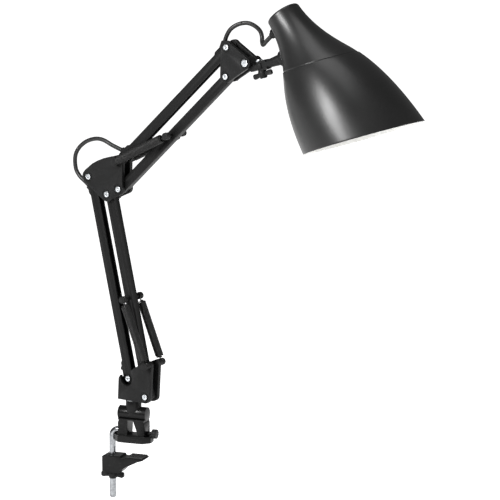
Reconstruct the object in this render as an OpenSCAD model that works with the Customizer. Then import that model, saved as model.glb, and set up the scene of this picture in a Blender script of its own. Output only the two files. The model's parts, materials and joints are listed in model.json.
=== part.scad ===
// Clamp-on swing-arm desk lamp: two spring-balanced parallelogram arms, a tilting and
// panning head, and a table clamp. The arms lie in the XZ plane. The origin is on the
// swivel axis, at the underside of the clamp's foot, and +Z is up.

/* [Arms] */
// Distance between the pins of the lower bars
lower_len = 253; // [220:1:300]
// Lean of the lower arm, back from upright
lower_lean = 13; // [0:1:18]
// Distance between the pins of the upper bars
upper_len = 222; // [190:1:260]
// Rise of the upper arm above level
upper_rise = 43; // [30:1:55]
// Width of each bar, seen from the side
bar_w = 12; // [11:0.5:13]
// Depth of each bar, along the pins
bar_d = 9.6; // [9:0.1:9.8]
// Wall of the folded steel bars
bar_wall = 1.4; // [1:0.1:1.6]

/* [Pivots] */
// Gap between the two plates of every bracket
plate_gap = 10.2; // [10.1:0.1:11]
// Thickness of each bracket plate
plate_t = 5.1; // [4.5:0.1:5.5]
// Radius of the pivot bolts
bolt_r = 2.5; // [2:0.1:2.8]
// Running clearance between a bolt and its bore, on the radius
run_fit = 0.05; // [0.02:0.01:0.1]
// Clearance at the pivot that closes each linkage, on the radius
open_fit = 0.4; // [0.3:0.05:0.5]

/* [Springs] */
// Outer diameter of the balance springs
spring_d = 10.6; // [9:0.1:11]
// Distance of the springs from the arm's middle plane
spring_y = 16.2; // [16:0.1:18]

/* [Flex] */
// Diameter of the flex
flex_d = 5.2; // [4.5:0.1:5.6]

/* [Head] */
// Tilt of the shade's own axis from upright
shade_tilt = 39.5; // [30:0.5:45]
// Slope of the shade's rim and shoulder
rim_slope = 19; // [10:1:22]
// Rise of the stem between the arm and the shade
stem_rise = 20; // [10:1:25]
// Wall of the shade
shade_wall = 1.2; // [1:0.1:2]

/* [Clamp] */
// Turn of the clamp under the arm
clamp_yaw = 15; // [-30:1:30]
// Diameter of the clamp rod
rod_d = 8; // [7:0.5:9]
// Distance from the swivel axis to the rod
rod_reach = 28.7; // [27:0.1:31]
// Gap between the foot pad and the jaw pad
table_gap = 18; // [12:1:30]

/* [Hidden] */
$fn = 48;

fair = 0.02;                           // how far straight edges stay inside the round ends they join
in_y = plate_gap / 2;                  // inner face of the plates
out_y = in_y + plate_t;                // outer face of the plates
half_w = bar_w / 2;
half_d = bar_d / 2;

// Pivots in the XZ plane. a and b are on the crank, c d e i on the elbow, f g h on the head.
a = [-3.4, 80];
b = a + [28.5, -19];
lower_dir = 90 + lower_lean;
c = a + polar(lower_len, lower_dir);
d = b + polar(lower_len, lower_dir);
e = d + [17.8, 8];
i = e + [1, 35];
g = e + polar(upper_len, upper_rise);
f = i + polar(upper_len, upper_rise);
h = g + [28.2, 18.2];
pan = h + [16.2, -3.7];
peg = b + [6, 41];                     // lower ends of the lower springs
spring_at = 0.485;                     // place of each cross pin along its bar

crank_floor = 53.2;                    // underside of the swivelling crank
socket_top = 52.4;                     // top of the clamp's socket
spigot_r = 6;
spigot_foot = 33;

head_r = 3.5;                          // bolt heads
head_h = 2.4;
seat_r = 4.7;                          // round recess that a bolt head sits in
seat_h = 1.8;
ring_h = 0.7;
nut_r = 4;
nut_h = 3;

function polar(r, t) = [r * cos(t), r * sin(t)];
function swing(v, t) = [v[0] * cos(t) - v[1] * sin(t), v[0] * sin(t) + v[1] * cos(t)];

// Stands children up in the XZ plane at a pivot
module at(p) translate([p[0], 0, p[1]]) children();

// Turns children so that their +X runs from a pivot at an angle above level
module along(p, angle) at(p) rotate([0, -angle, 0]) children();

// Extrudes an XZ outline along Y, from y0 to y1
module slab(y0, y1) translate([0, y1, 0]) rotate([90, 0, 0]) linear_extrude(height = y1 - y0) children();

// Cylinder along Y
module pin_y(r, y0, y1) translate([0, y1, 0]) rotate([90, 0, 0]) cylinder(r = r, h = y1 - y0);

// Flat strap with round ends between two points
module strap(p, q, r) {
    run = q - p;
    turn = atan2(run[1], run[0]);
    translate(p) circle(r = r);
    translate(q) circle(r = r);
    translate(p) rotate(turn) translate([0, fair - r]) square([norm(run), 2 * (r - fair)]);
}

// Turns children about Z with the clamp
module clamped() rotate([0, 0, clamp_yaw]) children();

/* ---- Clamp: the turned frame has its own +X along the barrel ---- */
pad_t = 1.2;
foot_l = 49;
foot_w = 26;
foot_chamfer = 8;
foot_top = 8.5;
body_l = 35.2;
body_w = 18;
barrel_z = 35.5;
barrel_r = 8.8;
barrel_l = 36.6;
socket_r = 9.75;
socket_bore = 7.5;
rod_z = 13.3;                          // height of the rod's level leg
rod_bend = 8;                          // radius of the bend, on the rod's centre line
rod_in = 9;                            // distance from the axis to the rod's hidden end
rod_bottom = -73.8;
end_screw_z = 11.5;
end_screw_r = 5.8;
jaw_pad_t = 1.5;
jaw_top = -table_gap - jaw_pad_t;
jaw_w = 20;
jaw_floor = jaw_top - 21;
wing_span = 30;
wing_h = 9;

// Outline of the clamp's foot, a bar with four chamfered corners
module foot_outline(l, w, k) polygon([for (s = [[1, 1], [-1, 1], [-1, -1], [1, -1]], n = [0, 1])
    let (long = (s[0] * s[1] > 0) == (n == 0))
    [s[0] * (l / 2 - (long ? 0 : k)), s[1] * (w / 2 - (long ? k : 0))]]);

module clamp_body() color("#1d1d1f") clamped() difference() {
    union() {
        translate([0, 0, pad_t]) linear_extrude(height = foot_top - pad_t) foot_outline(foot_l, foot_w, foot_chamfer);
        translate([-body_l / 2, -body_w / 2, foot_top - 1]) cube([body_l, body_w, 22]);
        translate([-barrel_l / 2, 0, barrel_z]) rotate([0, 90, 0]) cylinder(r = barrel_r, h = barrel_l);
        translate([0, 0, 28]) cylinder(r1 = 5, r2 = socket_r, h = 10);
        translate([0, 0, 38]) cylinder(r = socket_r, h = socket_top - 39.2);
    }
    slab(-foot_w, foot_w) polygon([[-5.5, foot_top + 1], [9.2, foot_top + 1], [2.5, 28], [-4.5, 28]]);
    for (side = [-1, 1]) translate([side * (body_l / 2 + 1.2), 0, 27]) cube([4, 2 * body_w, 3], center = true);
    translate([0, 0, spigot_foot - 1.5]) cylinder(r = socket_bore, h = 30);
    translate([-body_l, 0, rod_z]) rotate([0, 90, 0]) cylinder(r = rod_d / 2 + 0.02, h = body_l - rod_in);
    rod_turn(rod_d / 2 + 0.3);
    translate([13, 0, end_screw_z]) rotate([0, 90, 0]) cylinder(r = 2.5, h = foot_l);
}

module foot_pad() color("#141414") clamped() linear_extrude(height = pad_t)
    foot_outline(foot_l - 1.6, foot_w - 1.6, foot_chamfer);

// Plain bush that the spigot turns in, with a thin flange that carries the crank
module socket_bush() color("#2a2a2c") clamped() difference() {
    union() {
        translate([0, 0, spigot_foot - 1.5]) cylinder(r = socket_bore, h = socket_top - spigot_foot + 1.5);
        translate([0, 0, socket_top - 1.2]) cylinder(r = socket_r, h = 1.2);
    }
    translate([0, 0, spigot_foot]) cylinder(r = spigot_r + run_fit, h = 30);
}

// Quarter bend of the rod
module rod_turn(r) translate([rod_bend - rod_reach, 0, rod_z - rod_bend]) rotate([90, 0, 0]) rotate([0, 0, 90])
    rotate_extrude(angle = 90) translate([rod_bend, 0]) circle(r = r);

// Bent rod: a short level leg in the body, a quarter bend and a long leg for the jaw
module clamp_rod() color("#c9ccd0") clamped() {
    translate([rod_bend - rod_reach, 0, rod_z]) rotate([0, 90, 0])
        cylinder(d = rod_d, h = rod_reach - rod_bend - rod_in);
    rod_turn(rod_d / 2);
    translate([-rod_reach, 0, rod_bottom + 1]) cylinder(d = rod_d, h = rod_z - rod_bend - rod_bottom - 1);
    translate([-rod_reach, 0, rod_bottom]) cylinder(d1 = rod_d - 2, d2 = rod_d, h = 1);
}

// Knurled screw in the right-hand end of the body
module end_screw() color("#1a1a1a") clamped() {
    translate([13.5, 0, end_screw_z]) rotate([0, 90, 0]) cylinder(r = 2.45, h = 14);
    translate([25, 0, end_screw_z]) rotate([0, 90, 0]) difference() {
        cylinder(r = end_screw_r, h = 6);
        for (n = [0 : 11]) rotate(n * 30) translate([end_screw_r + 0.4, 0, -1]) cylinder(r = 1, h = 8, $fn = 16);
    }
}

module lower_jaw() color("#1d1d1f") clamped() difference() {
    slab(-jaw_w / 2, jaw_w / 2) translate([0, jaw_top]) polygon([
        [-38.9, -21], [-38.9, -0.6], [-36.4, 1], [-15, 1], [-14.2, -1.2], [-9.5, -1.6], [-6.5, 0],
        [15.2, 0], [16, -1.2], [15.2, -2.4], [8, -4.8], [-10, -14], [-16, -21]]);
    translate([-rod_reach, 0, jaw_floor - 1]) cylinder(r = rod_d / 2 + 0.1, h = 30);
}

module jaw_pad() color("#141414") clamped() difference() {
    translate([-5.5, -jaw_w / 2 + 1, jaw_top]) cube([20, jaw_w - 2, jaw_pad_t]);
    for (n = [0 : 4]) translate([-2.4 + 3.6 * n, -jaw_w, jaw_top + jaw_pad_t - 0.5]) cube([0.8, 2 * jaw_w, 1]);
}

// Wing nut with its thread axis on Z and its top face at z = 0
module wing_nut(span, tall, hub, bore) difference() {
    union() {
        translate([0, 0, -tall]) cylinder(r1 = hub - 1.2, r2 = hub, h = 3);
        translate([0, 0, 3 - tall]) cylinder(r = hub, h = tall - 3);
        for (side = [0, 180]) rotate(side) slab(-1.9, 1.9)
            polygon([[0, -1], [hub, -1], [span / 2 - 1.5, 0.4 - 1.2], [span / 2, -2.2], [span / 2, 2.5 - tall],
                [span / 2 - 2, 1.2 - tall], [hub, 2.2 - tall], [0, 3 - tall]]);
    }
    translate([0, 0, -tall - 1]) cylinder(r = bore, h = tall + 2);
}

module clamp_wing_nut() color("#1a1a1a") clamped() translate([-rod_reach, 0, jaw_floor - 0.1])
    wing_nut(wing_span, wing_h, 5.6, rod_d / 2 + run_fit);

/* ---- Bars, pins and springs ---- */
steel = "#2b2b2d";
plastic = "#232325";
zinc = "#c4c6c9";
rubber = "#161616";
pad_h = half_w + 2;                    // top of the cord bush over the bar's web
mouth_h = 9.5;                         // height of the cord's way out over the bar's middle
slot_from = 5.5;                       // slot in the web that a cord bush plugs
slot_to = 22.8;
bore_r = bolt_r + run_fit;

// A cord bush is [distance from the pin at which its bore meets the bar's middle, bore's angle to the bar]
shallow = [24, 37];
steep = [12.5, 60];
flat_out = [24, 25];
function mouth(bush) = [bush[0] - mouth_h / tan(bush[1]), mouth_h];

// Folded U-channel with round ends, pins at x = 0 and x = len, its web on the +Z side
module channel(len) difference() {
    slab(-half_d, half_d) strap([0, 0], [len, 0], half_w);
    slab(bar_wall - half_d, half_d - bar_wall) translate([-bar_w, -bar_w])
        square([len + 2 * bar_w, bar_w + half_w - bar_wall]);
    children();
}

// Moulded plug that fills the end of a channel round its pin
module end_plug(len) difference() {
    slab(bar_wall - half_d, half_d - bar_wall) strap([0, 0], [len, 0], half_w - bar_wall - 0.05);
    pin_y(bore_r, -bar_d, bar_d);
}

// Cord bush at a channel's end: plug, pad over the web and a nozzle along the cord's way out
module cord_bush(bush) color(plastic) {
    end_plug(bush[0] > 20 ? 4 : 1);
    difference() {
        union() {
            slab(-half_d, half_d) polygon([[1, half_w], [2, pad_h - 0.6], [4, pad_h], [20, pad_h], [23, half_w]]);
            slab(bar_wall - half_d, half_d - bar_wall)
                polygon([[slot_from, 4.5], [slot_from, 6.1], [slot_to, 6.1], [slot_to, 4.5]]);
            difference() {
                bore_axis(bush) cylinder(r = 4.1, h = mouth_h / sin(bush[1]));
                translate([-bar_w, -bar_w, -bar_w]) cube([60, 2 * bar_w, bar_w + half_w]);
            }
        }
        bore_axis(bush) translate([0, 0, -20]) cylinder(r = flex_d / 2 + 0.05, h = 60);
        translate([-5, -bar_w, -bar_w]) cube([60, 2 * bar_w, bar_w + half_w - bar_wall - 0.1]);
    }
}

// Axis of a cord bush's bore, from the bar's middle line out over the pin's end
module bore_axis(bush) translate([bush[0], 0, 0]) rotate([0, bush[1] - 90, 0]) children();

// Flips children end for end on a bar of length len
module far_end(len) translate([len, 0, 0]) mirror([1, 0, 0]) children();

module cord_channel(len) color(steel) channel(len) {
    for (x = [0, len]) translate([x, 0, 0]) pin_y(bore_r, -bar_d, bar_d);
    for (x = [slot_from, len - slot_to]) translate([x, bar_wall - half_d, 0])
        cube([slot_to - slot_from, bar_d - 2 * bar_wall, bar_w]);
}

module spring_channel(len, far_fit) color(steel) mirror([0, 0, 1]) channel(len) {
    pin_y(bore_r, -bar_d, bar_d);
    translate([len, 0, 0]) pin_y(bolt_r + far_fit, -bar_d, bar_d);
    translate([spring_at * len, 0, 0]) pin_y(2, -bar_d, bar_d);
}

module channel_plugs(len, far_fit) color(plastic) {
    end_plug(6);
    difference() {
        far_end(len) end_plug(6);
        translate([len, 0, 0]) pin_y(bolt_r + far_fit, -bar_d, bar_d);
    }
}

// Flex inside a bar, straight in the channel and out along the bush at each end that has a bush given
module bar_flex(len, low, high) color(rubber) {
    from = low == [] ? 14 : low[0];
    translate([from, 0, 0]) rotate([0, 90, 0]) cylinder(d = flex_d, h = len - high[0] - from);
    for (x = [from, len - high[0]]) translate([x, 0, 0]) sphere(r = flex_d / 2 + fair);
    if (low != []) bore_axis(low) cylinder(d = flex_d, h = mouth_h / sin(low[1]));
    far_end(len) bore_axis(high) cylinder(d = flex_d, h = mouth_h / sin(high[1]));
}

// Grooved knob on the end of a pin that a spring's hook sits in, from y0 outwards
module hook_knob(y0) {
    pin_y(4.3, y0, spring_y - 1.25);
    pin_y(2.6, y0, spring_y + 1.3);
    pin_y(4.3, spring_y + 1.25, spring_y + 3.2);
}

// Both ends of a cross pin
module hook_knobs(y0) for (side = [0, 1]) mirror([0, side, 0]) hook_knob(y0);

// Close-wound spring between two pins, as its outer cylinder with a hook at each end
module spring(p, q, gap_p, gap_q) {
    run = norm(q - p);
    turn = atan2(q[1] - p[1], q[0] - p[0]);
    along(p, turn) {
        translate([gap_p, 0, 0]) rotate([0, 90, 0]) cylinder(d = spring_d, h = run - gap_p - gap_q);
        for (x = [0, run]) translate([x, 0, 0]) rotate([90, 0, 0]) rotate_extrude() translate([3.7, 0]) circle(r = 0.9, $fn = 16);
        translate([4.1, 0, 0]) rotate([0, 90, 0]) cylinder(r = 0.9, h = gap_p - 4.1 + 1);
        translate([run - gap_q - 1, 0, 0]) rotate([0, 90, 0]) cylinder(r = 0.9, h = gap_q - 3.1);
    }
}

// Bolt through a bracket: a round head with a hexagon socket at the near side
module bolt(p, head, from, to) at(p) difference() {
    union() {
        pin_y(bolt_r, from, to);
        pin_y(head, from - head_h, from);
    }
    pin_y(head * 0.42, from - head_h - 1, from - head_h + 1.4, $fn = 6);
}

// Hexagon nut at the far side of a bracket
module nut(p, from) at(p) difference() {
    pin_y(nut_r, from, from + nut_h, $fn = 6);
    pin_y(bolt_r, from - 1, from + nut_h + 1);
}

// Near bracket plate from an XZ outline, drilled and seated for bolts at some pivots
module plate(pivots) difference() {
    slab(-out_y, -in_y) children();
    for (p = pivots) at(p) {
        pin_y(bore_r, -2 * out_y, 0);
        pin_y(seat_r, -2 * out_y, seat_h - out_y);
        pin_y(6.4, -2 * out_y, ring_h - out_y);
    }
}

// The same plate on the far side
module far_plate(pivots) mirror([0, 1, 0]) plate(pivots) children();

/* ---- Swivelling crank at the foot of the lower arm ---- */
peg_r = 4.4;
foot_r = 7.8;
scoop_r = 8.6;

module crank_outline() {
    translate(b) circle(r = foot_r);
    translate(peg) circle(r = peg_r);
    polygon([[-17, crank_floor], b + polar(foot_r - fair, -90), b + polar(foot_r - fair, 0),
        peg + polar(peg_r - fair, 0), peg + polar(peg_r - fair, 104), [18, 101], [9, 95.5], [1, 90],
        [-12.8, 84.5], [-15.6, 80]]);
}

module crank_plate_near() color(plastic) difference() {
    plate([a, b]) crank_outline();
    slab(-2 * out_y, 0) strap(a, a + polar(40, lower_dir), scoop_r);
}

module crank_plate_far() color(plastic) far_plate([a, b]) crank_outline();

// Block between the crank's plates, which holds the spigot
module crank_core() color(plastic) difference() {
    slab(-in_y, in_y) polygon([[-15, crank_floor], [-15, 68], [-12, 71], [6, 71], [14, 64], [14, crank_floor]]);
    translate([0, 0, crank_floor - 1]) cylinder(r = 4, h = 15);
}

module swivel_spigot() color(zinc) {
    translate([0, 0, spigot_foot + 0.3]) cylinder(r1 = spigot_r - 1, r2 = spigot_r, h = 1);
    translate([0, 0, spigot_foot + 1.3]) cylinder(r = spigot_r, h = socket_top - spigot_foot - 1.3);
    translate([0, 0, socket_top]) cylinder(r = 9, h = crank_floor - socket_top);
    translate([0, 0, crank_floor]) cylinder(r = 4, h = 13);
}

module crank_bolts() color(zinc) {
    difference() {
        bolt(a, head_r, -half_d - 0.4, out_y + 1);
        at(a) pin_y(head_r * 0.42, -bar_d, -half_d - 1.4, $fn = 6);
    }
    bolt(b, head_r, seat_h - out_y, out_y + 1);
}

module crank_nuts() color(zinc) for (p = [a, b]) nut(p, out_y - seat_h);

// Grooved stubs on the crank's ears for the lower ends of the springs
module crank_spring_pegs() color(plastic) at(peg) hook_knobs(out_y);

module rear_bar() along(a, lower_dir) cord_channel(lower_len);
module rear_bar_lower_bush() along(a, lower_dir) cord_bush(shallow);
module rear_bar_upper_bush() along(a, lower_dir) far_end(lower_len) cord_bush(shallow);
module rear_bar_flex() color(rubber) along(a, lower_dir) bar_flex(lower_len, [], shallow);
module front_bar() along(b, lower_dir) spring_channel(lower_len, open_fit);
module front_bar_plugs() along(b, lower_dir) channel_plugs(lower_len, open_fit);

lower_pin = b + polar(spring_at * lower_len, lower_dir);
upper_pin = e + polar(spring_at * upper_len, upper_rise);

// Cross pin through the middle of a bar, with a grooved knob at each end
module cross_pin(p) color(plastic) at(p) {
    pin_y(1.95, -13, 13);
    hook_knobs(12.6);
}

module lower_spring_pin() cross_pin(lower_pin);
module lower_spring_near() color(steel) translate([0, -spring_y, 0]) spring(lower_pin, peg, 8.5, 7.5);
module lower_spring_far() color(steel) translate([0, spring_y, 0]) spring(lower_pin, peg, 8.5, 7.5);

/* ---- Elbow between the two arms ---- */
module elbow_outline() {
    strap(c, d, 9);
    strap(d, e, 7.6);
    strap(e, i, 6.2);
    polygon([c, d, e, i, i + [-3, 6], c + [33, 27.8], c + [24, 25.2], c + [15, 21.5], c + [6.5, 17],
        c + polar(9.4, 128)]);
}

module elbow_plate_near() color(plastic) plate([c, d, e, i]) elbow_outline();
module elbow_plate_far() color(plastic) far_plate([c, d, e, i]) elbow_outline();

// Spacer between the elbow's plates, clear of all four bar ends
module elbow_core() color(plastic) slab(-in_y, in_y) strap(c + [16.5, 8.5], c + [30, 15], 4);

module elbow_bolts() color(zinc) for (p = [c, d, e]) bolt(p, head_r, seat_h - out_y, out_y + 1);
module elbow_nuts() color(zinc) for (p = [c, d, e]) nut(p, out_y - seat_h);

// Long pin through the elbow that carries the top bar and the lower ends of the upper springs
module elbow_spring_pin() color(plastic) at(i) {
    pin_y(bolt_r, -13, 13);
    hook_knobs(12.6);
}

module top_bar() along(i, upper_rise) cord_channel(upper_len);
module top_bar_lower_bush() along(i, upper_rise) cord_bush(steep);
module top_bar_upper_bush() along(i, upper_rise) far_end(upper_len) cord_bush(flat_out);
module top_bar_flex() color(rubber) along(i, upper_rise) bar_flex(upper_len, steep, flat_out);
module bottom_bar() along(e, upper_rise) spring_channel(upper_len, open_fit);
module bottom_bar_plugs() along(e, upper_rise) channel_plugs(upper_len, open_fit);
module upper_spring_pin() cross_pin(upper_pin);
module upper_spring_near() color(steel) translate([0, -spring_y, 0]) spring(i, upper_pin, 5.5, 8.5);
module upper_spring_far() color(steel) translate([0, spring_y, 0]) spring(i, upper_pin, 5.5, 8.5);

/* ---- Bracket at the head ---- */
head_post = h + [-18.5, -0.5];
tilt_head_r = 4.3;

module head_outline() {
    strap(f, g, 7.6);
    strap(g, h, 7.2);
    strap(f, h, 7.2);
    polygon([f, g, h]);
}

module head_plate_near() color(plastic) plate([f, g, h]) head_outline();
module head_plate_far() color(plastic) far_plate([f, g, h]) head_outline();
module head_core() color(plastic) at(head_post) pin_y(5.5, -in_y, in_y);
module head_bolts() color(zinc) for (p = [f, g]) bolt(p, head_r, seat_h - out_y, out_y + 1);
module head_nuts() color(zinc) for (p = [f, g]) nut(p, out_y - seat_h);
module tilt_bolt() color(zinc) bolt(h, tilt_head_r, seat_h - out_y, out_y + 5);

// Domed clamping nut on the far end of the tilt bolt
module tilt_nut() color(plastic) at(h) difference() {
    union() {
        pin_y(4.5, out_y - seat_h, out_y + 1);
        pin_y(6.4, out_y + 1, out_y + 6);
        pin_y(5, out_y + 6, out_y + 7.2);
    }
    pin_y(bolt_r, 0, out_y + 5);
}

/* ---- Head joint: its own frame has +X along the stem and +Z along the pan bolt ---- */
eye = swing(h - pan, -stem_rise);
lug_w = 9.2;
lug_r = lug_w / 2;
lever_low = -3;
lever_high = 3.5;
lug_gap = 0.1;
lug_t = 2.5;
stem_from = 9;
stem_to = 31;
flange_at = 33.5;
stud_end = 45;
pan_nut_top = lever_low - lug_gap - lug_t - 0.1;

module at_head() along(pan, stem_rise) children();

// Lever that tilts between the bracket's plates, with a flat eye for the pan bolt
module tilt_lever() color(plastic) at_head() difference() {
    union() {
        translate([eye[0], 0, eye[1]]) pin_y(6.8, -half_d, half_d);
        slab(-lug_r, lug_r) polygon([eye + [-5, -4.5], [-12, lever_low], [0, lever_low], [0, lever_high],
            [-5.4, lever_high], eye + [6.6, -1.5], eye]);
        translate([0, 0, lever_low]) cylinder(r = lug_r, h = lever_high - lever_low);
    }
    translate([eye[0], 0, eye[1]]) pin_y(bore_r, -bar_d, bar_d);
    translate([0, 0, -20]) cylinder(r = bore_r, h = 40);
}

module pan_bolt() color(zinc) at_head() difference() {
    union() {
        translate([0, 0, -14.5]) cylinder(r = bolt_r, h = lever_high + lug_gap + lug_t + 14.5);
        translate([0, 0, lever_high + lug_gap + lug_t + 0.05]) cylinder(r = 4.4, h = 2.2);
        translate([0, 0, lever_high + lug_gap + lug_t]) cylinder(r = bolt_r, h = 1);
    }
    translate([0, 0, lever_high + lug_gap + lug_t + 1]) cylinder(r = 1.9, h = 3, $fn = 6);
}

module pan_wing_nut() color(plastic) at_head() translate([0, 0, pan_nut_top]) wing_nut(27, 8.4, 5.2, bore_r);

// Fork on the pan bolt, a tapering stem and the threaded stud that passes into the shade
module head_stem() color(plastic) at_head() difference() {
    union() {
        for (z = [lever_low - lug_gap - lug_t, lever_high + lug_gap]) translate([0, 0, z]) {
            cylinder(r = lug_r, h = lug_t);
            translate([0, -lug_r, 0]) cube([stem_from, lug_w, lug_t]);
        }
        translate([5.4, -lug_r, lever_low - lug_gap - lug_t])
            cube([6, lug_w, lever_high - lever_low + 2 * (lug_gap + lug_t)]);
        translate([stem_from, 0, 0.2]) rotate([0, 90, 0]) cylinder(r1 = 4.6, r2 = 6.6, h = stem_to - stem_from);
        translate([stem_to - 1, 0, 0.2]) rotate([0, 90, 0]) cylinder(r = 3, h = stud_end - stem_to + 1);
    }
    translate([0, 0, -20]) cylinder(r = bore_r, h = 40);
}

/* ---- Shade: its own frame has +Z from the neck down its axis and +X towards the stem ---- */
neck_top = pan + [31.2, 65.6];
cut_tilt = shade_tilt - rim_slope;
shoulder_at = 74;                      // where the shoulder and the rim cross the axis
rim_at = 178;
skirt_step = 0.7;
neck_r = 20.8;
edge_r = 3;
neck_curve = [[neck_r, edge_r], [22, 28], [30, 50], [43, 75]];
dome_curve = [[43, 75], [55, 98], [69, 135], [71, 210]];
function bezier(p, t) = pow(1 - t, 3) * p[0] + 3 * t * pow(1 - t, 2) * p[1] + 3 * t * t * (1 - t) * p[2]
    + pow(t, 3) * p[3];
outer_line = concat(
    [for (t = [0 : 22.5 : 67.5]) [neck_r - edge_r + edge_r * sin(t), edge_r - edge_r * cos(t)]],
    [for (t = [0 : 0.125 : 0.875]) bezier(neck_curve, t)],
    [for (t = [0 : 0.1 : 1]) bezier(dome_curve, t)]);
last = len(outer_line) - 1;
bush_at = 12;                          // place of the neck's cord bush along the axis
bush_end = 30;

module in_shade() translate([neck_top[0], 0, neck_top[1]]) rotate([0, 180 - shade_tilt, 0]) children();

// Solid form of the shade, grown outwards by some amount
module shade_form(grow) rotate_extrude($fn = 96)
    polygon(concat([[0, -grow]], [for (p = outer_line) [p[0] + grow, p[1] - (p[1] < edge_r ? grow : 0)]],
        [[0, outer_line[last][1]]]));

// Thin wall that follows the shade's outline
module shade_wall_form(grow) difference() {
    shade_form(grow);
    translate([0, 0, 0.001]) shade_form(grow - shade_wall);
}

// Everything past a sloping plane that crosses the axis at some distance
module beyond(distance) translate([0, 0, distance]) rotate([0, cut_tilt, 0]) translate([-200, -200, 0])
    cube([400, 400, 300]);

module shade_neck() color("#202022") difference() {
    in_shade() difference() {
        shade_wall_form(0);
        beyond(shoulder_at);
        translate([10, 0, bush_at]) rotate([0, 90, 0]) cylinder(r = 4.55, h = 30);
        translate([0, 0, -2]) cylinder(r = 5, h = 6);
    }
    at_head() translate([0, 0, 0.2]) rotate([0, 90, 0]) cylinder(r = 3.05, h = 60);
}

module shade_skirt() color("#202022") in_shade() difference() {
    intersection() {
        shade_wall_form(skirt_step);
        beyond(shoulder_at);
    }
    beyond(rim_at);
}

// Saddle-shaped foot between the stem and the neck
module stem_flange() color(plastic) difference() {
    at_head() translate([flange_at, 0, 0.2]) rotate([0, 90, 0]) difference() {
        cylinder(r = 9.8, h = 8);
        translate([0, 0, -1]) cylinder(r = 3.05, h = 12);
    }
    in_shade() shade_form(0.02);
}

// Two hexagon nuts on the stud, outside and inside the neck
module stem_locknuts() color(zinc) at_head() for (x = [stem_to + 0.1, 41.1]) translate([x, 0, 0.2])
    rotate([0, 90, 0]) difference() {
        cylinder(r = 6.6, h = 2.3, $fn = 6);
        translate([0, 0, -1]) cylinder(r = 3.05, h = 5);
    }

module neck_bush() color(plastic) in_shade() difference() {
    translate([0, 0, bush_at]) rotate([0, 90, 0]) {
        translate([0, 0, 19.5]) cylinder(r = 4.5, h = 8);
        translate([0, 0, 23]) cylinder(r = 6.2, h = 3.2);
        translate([0, 0, 26]) cylinder(r1 = 4.8, r2 = 4, h = bush_end - 26);
    }
    translate([0, 0, bush_at]) rotate([0, 90, 0]) cylinder(d = flex_d + 0.1, h = 60);
}

/* ---- Lampholder for an E27 screw cap ---- */
holder_r = 16.5;
holder_from = 3.4;
holder_to = 64;
thread_r = 13.25;
thread_from = 36;

module lampholder_shell() color("#1a1a1b") in_shade() difference() {
    union() {
        translate([0, 0, holder_from]) cylinder(r = holder_r, h = holder_to - holder_from);
        translate([0, 0, shade_wall + 0.05]) cylinder(r = 8, h = 3);
        translate([0, 0, -1.2]) cylinder(r = 4.9, h = 3);
        translate([0, 0, 44]) cylinder(r = holder_r + 2, h = 2.4);
    }
    translate([0, 0, 31]) cylinder(r = 14.6, h = 40);
}

// Brass screw shell
module lampholder_thread() color("#b8963e") in_shade() difference() {
    translate([0, 0, thread_from - 2]) cylinder(r = 14.55, h = 24);
    translate([0, 0, thread_from]) cylinder(r = thread_r, h = 40);
    translate([0, 0, thread_from - 3]) cylinder(r = 5, h = 10);
}

module lampholder_contact() color("#c9a227") in_shade() {
    translate([0, 0, 31]) cylinder(r = 3.4, h = 2.4);
    translate([0, 0, 33.4]) cylinder(r1 = 3.4, r2 = 2, h = 2.3);
}

/* ---- Flex loops: hand-placed points about pivots c and f, smoothed and swept ---- */
elbow_route = [[-6.8, 0, -13.1], [-13.5, 0, -8.2], [-20.5, 0, -3.5], [-26.5, 0, 4], [-28.5, 0, 13.5],
    [-27.5, 0, 23.5], [-22, 0, 32.5], [-12, 0, 40.5], [-1, 0, 45], [9, 0, 46.5], [18.5, 0, 45], [28, 0, 41.2],
    [37, 0, 38.3], [45.5, 0, 35.8]];
head_route = [[-9, 0, 4.7], [-6, 0, 12.5], [-1, 0.5, 20], [5.5, 2.5, 25], [13.5, 4.5, 28], [21.5, 7, 28.2],
    [29, 9.5, 24.8], [34.2, 11.5, 19.5], [36.8, 11.5, 13.4], [38.8, 9, 8.4], [42.8, 4.5, 5.4], [47.4, 0, 5.8],
    [51.6, -1.5, 9.2], [55.4, -0.8, 13.2], [58.8, 0, 16.6]];
ring_steps = 3;
tube_sides = 8;

function unit(v) = v / norm(v);
function spline(p, k, t) = let (
    p0 = p[max(k - 1, 0)],
    p1 = p[k],
    p2 = p[k + 1],
    p3 = p[min(k + 2, len(p) - 1)]
) 0.5 * (2 * p1 + (p2 - p0) * t + (2 * p0 - 5 * p1 + 4 * p2 - p3) * t * t + (3 * p1 - p0 - 3 * p2 + p3) * t * t * t);
function smooth(p) = concat([for (k = [0 : len(p) - 2], n = [0 : ring_steps - 1]) spline(p, k, n / ring_steps)],
    [p[len(p) - 1]]);
function heading(p, k) = unit(p[min(k + 1, len(p) - 1)] - p[max(k - 1, 0)]);
function carried(p, k, side) = k == len(p) ? [] : let (
    ahead = heading(p, k),
    square_on = unit(side - (side * ahead) * ahead)
) concat([square_on], carried(p, k + 1, square_on));

// Tube swept along points, its rings turned as little as possible from one to the next
module tube(p, r) {
    across = carried(p, 0, [0, 1, 0]);
    rings = [for (k = [0 : len(p) - 1], n = [0 : tube_sides - 1]) let (
        turn = 360 * n / tube_sides,
        other = cross(heading(p, k), across[k])
    ) p[k] + r * (cos(turn) * across[k] + sin(turn) * other)];
    end = len(rings) - tube_sides;
    polyhedron(points = rings, faces = concat(
        [[for (n = [0 : tube_sides - 1]) n]],
        [[for (n = [tube_sides - 1 : -1 : 0]) end + n]],
        [for (k = [0 : len(p) - 2], n = [0 : tube_sides - 1]) let (
            from = k * tube_sides,
            next = (n + 1) % tube_sides
        ) [from + n, from + tube_sides + n, from + tube_sides + next, from + next]]));
}

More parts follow.
